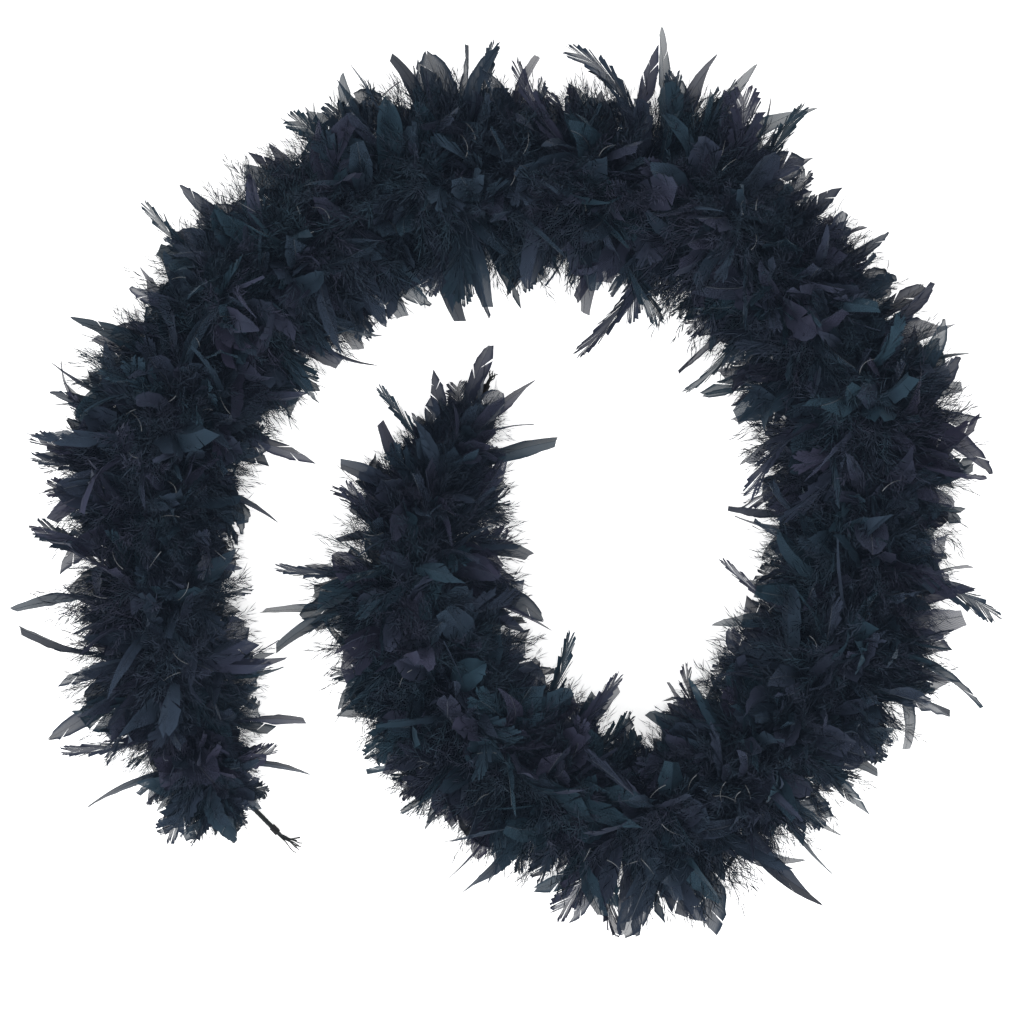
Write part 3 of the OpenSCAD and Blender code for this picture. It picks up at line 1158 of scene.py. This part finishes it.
@dataclass(frozen=True)
class FeatherDyeAndGlow:
    """The black dye on the feathers, which leans to teal on some and to plum on others, with a painted glow
    in their shadows and painted glints on some shafts.
    """

    teal: Colour = (0.0115, 0.0240, 0.0345, 1)
    plum: Colour = (0.0215, 0.0200, 0.0360, 1)
    # Paler shafts: partly their own colour, partly painted glints
    quill_and_glint: Colour = (0.060, 0.066, 0.075, 1)
    pale_tip: Colour = (0.06, 0.07, 0.08, 1)
    glow: Colour = (0.45, 0.72, 1.0, 1)
    # A painted glow that the feathers give off, standing in for light that has passed through many feathers,
    # which lifts the deepest shadows
    painted_glow: Colour = (0.0036, 0.0050, 0.0076, 1)

    def _colour(self, w: Wiring, place: Socket, tone: Socket, shade: Socket) -> Socket:
        """Mixes the two tones by tuft and by patch.

        Args:
            w: The wiring.
            place: The piece's own coordinates.
            tone: How far each copy leans to plum.
            shade: How light each copy is.

        Returns:
            The colour.
        """
        patches = w.math("MULTIPLY", w.math("SUBTRACT", w.noise(place, 16), 0.5), 0.9)
        tone = w.math("ADD", tone, patches)
        colour = w.mix(w.math("ADD", tone, 0, clamp=True), self.teal, self.plum)
        light = w.math("MULTIPLY_ADD", shade, 0.6, 0.70)
        light = w.math("MULTIPLY", light, w.math("MULTIPLY_ADD", w.noise(place, 60), 0.8, 0.6))
        return w.mix(1.0, colour, w.grey(light), "MULTIPLY")

    def _skin(
        self, w: Wiring, colour: Socket, rough: Socket, gloss: float, sheen: float, normal: Socket
    ) -> Socket:
        """Adds the surface that vanes and down share, with its painted glow.

        Args:
            w: The wiring.
            colour: The dyed colour.
            rough: The roughness.
            gloss: How much it mirrors.
            sheen: How rough its sheen is.
            normal: The bumped normal.

        Returns:
            The surface.
        """
        # The emission is a painted glow that lifts the deepest shadows
        skin = w.node(
            "ShaderNodeBsdfPrincipled", None, Base_Color=colour, Roughness=rough,
            Specular_IOR_Level=gloss, Specular_Tint=self.glow, Sheen_Weight=0.03,
            Sheen_Roughness=sheen, Sheen_Tint=self.glow, Normal=normal,
            Emission_Color=self.painted_glow, Emission_Strength=1.0,
        )
        return skin.outputs[0]

    def vane(self) -> bpy.types.Material:
        """Makes the finish of the flat vanes: barb lines, a shaft that is paler on some, partly its own
        colour and partly painted glints, and see-through webs.
        """
        w = Wiring("feather_vane")
        place = w.place()
        tone, shade, clearness = w.dye()
        across, along = w.blade()
        off = w.math("ABSOLUTE", w.math("MULTIPLY_ADD", across, 2.0, -1.0))
        wobble = w.math("MULTIPLY", w.noise(place, 220), 1.6)
        lines = w.math("SUBTRACT", w.math("MULTIPLY", along, 230.0), w.math("MULTIPLY", off, 60.0))
        barbs = w.math("MULTIPLY_ADD", w.math("SINE", w.math("ADD", lines, wobble)), 0.5, 0.5)
        shaft = w.math("SUBTRACT", 1.0, w.ease(off, 0.05, 0.34))
        edge = w.ease(off, 0.78, 0.98)
        colour = self._colour(w, place, tone, shade)
        lined = w.mix(1.0, colour, w.grey(w.math("MULTIPLY_ADD", barbs, 0.26, 0.87)), "MULTIPLY")
        # Some vanes get a paler shaft, partly its own colour and partly painted glints along it
        quilled_and_glinted = w.mix(w.math("MULTIPLY", shaft, w.ease(clearness, 0.45, 1.0)), lined, self.quill_and_glint)
        rough = w.math("MULTIPLY_ADD", barbs, 0.18, w.math("MULTIPLY_ADD", w.noise(place, 90), 0.3, 0.30))
        normal = w.bump(w.math("ADD", w.math("MULTIPLY", barbs, 0.4), shaft), 0.3, 0.0003)
        skin = self._skin(w, quilled_and_glinted, rough, 0.14, 0.5, normal)
        web = w.math("SUBTRACT", 1.0, w.math("MAXIMUM", shaft, edge))
        clear = w.math("MULTIPLY", web, w.math("MULTIPLY_ADD", barbs, 0.45, 0.55))
        clear = w.math("MULTIPLY", clear, w.math("MULTIPLY_ADD", clearness, 0.26, 0.03))
        clear = w.math("MULTIPLY", clear, w.ease(along, 0.30, 0.95))
        see = w.node("ShaderNodeBsdfTransparent").outputs[0]
        return w.finish(w.node("ShaderNodeMixShader", None, i0=clear, i1=skin, i2=see).outputs[0])

    def down(self) -> bpy.types.Material:
        """Makes the finish of the down: soft, with paler ends and a faint sheen."""
        w = Wiring("feather_down")
        place = w.place()
        tone, shade, _ = w.dye()
        _, along = w.blade()
        colour = self._colour(w, place, tone, shade)
        paler = w.mix(w.math("MULTIPLY", along, 0.12), colour, self.pale_tip)
        fuzz = w.noise(place, 900, 2)
        rough = w.math("MULTIPLY_ADD", fuzz, 0.3, 0.62)
        return w.finish(self._skin(w, paler, rough, 0.12, 0.6, w.bump(fuzz, 0.4, 0.0002)))


@dataclass(frozen=True)
class QuillHornGlint:
    """The smooth dark horn of bare quills, with pale streaks along it that are painted glints and fade along
    its length.
    """

    dark: Colour = (0.020, 0.024, 0.030, 1)
    # The pale of the painted glints
    pale: Colour = (0.24, 0.26, 0.28, 1)

    def make(self) -> bpy.types.Material:
        """Makes the material."""
        w = Wiring("painted_glint_horn")
        _, along = w.blade()
        # Where the painted glints lie, fading along the sliver
        glint_streaks = w.math("MULTIPLY_ADD", w.noise(w.place(), 260), 1.4, -0.2, clamp=True)
        share = w.math("MULTIPLY", glint_streaks, w.math("MULTIPLY_ADD", along, -30.0, 1.0, clamp=True))
        colour = w.mix(share, self.dark, self.pale)
        rough = w.math("MULTIPLY_ADD", glint_streaks, 0.2, 0.28)
        normal = w.bump(glint_streaks, 0.3, 0.0001)
        skin = w.node("ShaderNodeBsdfPrincipled", None, Base_Color=colour, Roughness=rough, Normal=normal)
        return w.finish(skin.outputs[0])


@dataclass(frozen=True)
class Yarn:
    """The finish of spun cotton: fibres that run along it, on dark dyed thread."""

    name: str
    dark: Colour
    pale: Colour
    fibres: float = 7.0

    def make(self) -> bpy.types.Material:
        """Makes the material."""
        w = Wiring(self.name)
        uv = w.node("ShaderNodeUVMap", {"uv_map": "blade"}).outputs[0]
        turned = w.node(
            "ShaderNodeMapping", None, Vector=uv, Scale=(self.fibres, 900.0, 1.0),
            Rotation=(0, 0, 0.5),
        )
        bands = w.node(
            "ShaderNodeTexWave", {"wave_type": "BANDS"}, Vector=turned.outputs[0], Scale=1.0,
            Distortion=3.0, Detail=2.0,
        )
        strands = bands.outputs[1]
        patches = w.noise(w.place(), 140)
        share = w.math("MULTIPLY", strands, w.math("MULTIPLY_ADD", patches, 0.8, 0.3), clamp=True)
        colour = w.mix(share, self.dark, self.pale)
        rough = w.math("MULTIPLY_ADD", patches, 0.25, 0.62)
        skin = w.node(
            "ShaderNodeBsdfPrincipled", None, Base_Color=colour, Roughness=rough, Specular_IOR_Level=0.2,
            Sheen_Weight=0.1, Normal=w.bump(strands, 0.7, 0.0002),
        )
        return w.finish(skin.outputs[0])


@dataclass(frozen=True)
class Studio:
    """The camera straight above, the pale floor and the soft light."""

    middle: tuple[float, float] = (-2.2 * MM, -26.6 * MM)
    field_w: float = 763 * MM
    field_z: float = 50 * MM
    lens: float = 85.0
    sensor: float = 36.0
    floor_size: float = 8.0
    floor_dark: Colour = (0.90, 0.90, 0.90, 1)
    floor_pale: Colour = (0.93, 0.93, 0.93, 1)
    floor_glow: float = 0.65
    sky: float = 1.1
    lamp_size: float = 1.8
    lamp_energy: float = 26
    lamp_at: tuple[float, float, float] = (-0.5, -1.1, 1.5)

    def camera(self) -> None:
        """Sets the camera up, looking straight down."""
        data = bpy.data.cameras.new("camera")
        data.lens = self.lens
        data.sensor_width = self.sensor
        camera = bpy.data.objects.new("camera", data)
        bpy.context.collection.objects.link(camera)
        height = self.field_z + self.field_w * self.lens / self.sensor
        camera.location = (*self.middle, height)
        bpy.context.scene.camera = camera

    def floor(self) -> None:
        """Lays the pale floor."""
        Bench()
        bpy.ops.mesh.primitive_plane_add(size=self.floor_size, location=(0, 0, 0))
        floor = bpy.context.object
        floor.name = "floor"
        w = Wiring("pale_floor")
        colour = w.mix(w.noise(w.place(), 30), self.floor_dark, self.floor_pale)
        skin = w.node(
            "ShaderNodeBsdfPrincipled", None, Base_Color=colour, Roughness=0.9, Specular_IOR_Level=0.1,
            Emission_Color=(1, 1, 1, 1), Emission_Strength=self.floor_glow,
        )
        floor.data.materials.append(w.finish(skin.outputs[0]))

    def light(self) -> None:
        """Lights the scene from all round and from a broad lamp above to one side."""
        world = bpy.data.worlds.new("studio")
        world.use_nodes = True
        sky = world.node_tree.nodes["Background"]
        sky.inputs["Color"].default_value = (1, 1, 1, 1)
        sky.inputs["Strength"].default_value = self.sky
        bpy.context.scene.world = world
        lamp = bpy.data.lights.new("lamp", "AREA")
        lamp.size = self.lamp_size
        lamp.energy = self.lamp_energy
        held = bpy.data.objects.new("lamp", lamp)
        held.location = self.lamp_at
        held.rotation_euler = (-held.location).to_track_quat("-Z", "Y").to_euler()
        bpy.context.collection.objects.link(held)
        bpy.context.scene.view_settings.view_transform = "Standard"


def dress(piece: bpy.types.Object, finish: bpy.types.Material, slot: str, *nodes: str) -> None:
    """Gives a piece its finish and its place in the frame, and reports it.

    Args:
        piece: The piece.
        finish: Its material.
        slot: The record's slot for it; not used.
        *nodes: CAD nodes that it stands for.
    """
    piece.data.materials.append(finish)
    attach(piece, BODY)
    if nodes:
        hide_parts(*nodes)
    log.info("%s: %d faces", piece.name, len(piece.data.polygons))


def main() -> None:
    """Builds the whole boa and its studio."""
    logging.basicConfig(level=logging.INFO, format="%(name)s: %(message)s")
    studio = Studio()
    studio.camera()
    line = CordLine(np.array(ROUTE_MM) * MM)

    cord = Cord(line)
    rope, binding = cord.rope(), cord.binding()
    whippings = [cord.whipping(True), cord.whipping(False)]
    frays = [
        cord.fray(outer=True, strands=9, length=25 * MM, turn=34),
        cord.fray(outer=False, strands=7, length=14 * MM, turn=0),
    ]
    cotton = Yarn("cord_cotton", dark=(0.008, 0.011, 0.013, 1), pale=(0.030, 0.038, 0.042, 1)).make()
    thread = Yarn(
        "waxed_thread", dark=(0.005, 0.006, 0.008, 1), pale=(0.020, 0.022, 0.026, 1), fibres=3.0
    ).make()
    dress(rope, cotton, "cord", "core_cord")
    dress(binding, thread, "thread", "binding_thread")
    for piece, node in zip(whippings, ("outer_whipping", "inner_whipping")):
        dress(piece, thread, "thread", node)
    for piece, node in zip(frays, ("outer_tassel", "inner_tassel")):
        dress(piece, cotton, "strand", node)

    dye = FeatherDyeAndGlow()
    vane_finish, down_finish = dye.vane(), dye.down()
    vanes = [cut.model(Bench()) for cut in VANES]
    plumes = [Plume(seed=seed).model(Bench()) for seed in (1, 2, 3, 4)]
    tufts = Tufts(line, Table())
    for bunch in range(tufts.bunches):
        slot = "plum_feather" if bunch % 2 else "teal_feather"
        dress(tufts.feathers(bunch, vanes), vane_finish, slot, f"feather_bunch_{bunch + 1:02d}")
        dress(tufts.down(bunch, plumes), down_finish, slot)
    # Slivers of bare quills whose pale streaks are painted glints
    dress(PaintedGlintQuills(tufts).build(), QuillHornGlint().make(), "plum_feather")

    studio.floor()
    studio.light()


if __name__ == "__main__":
    main()
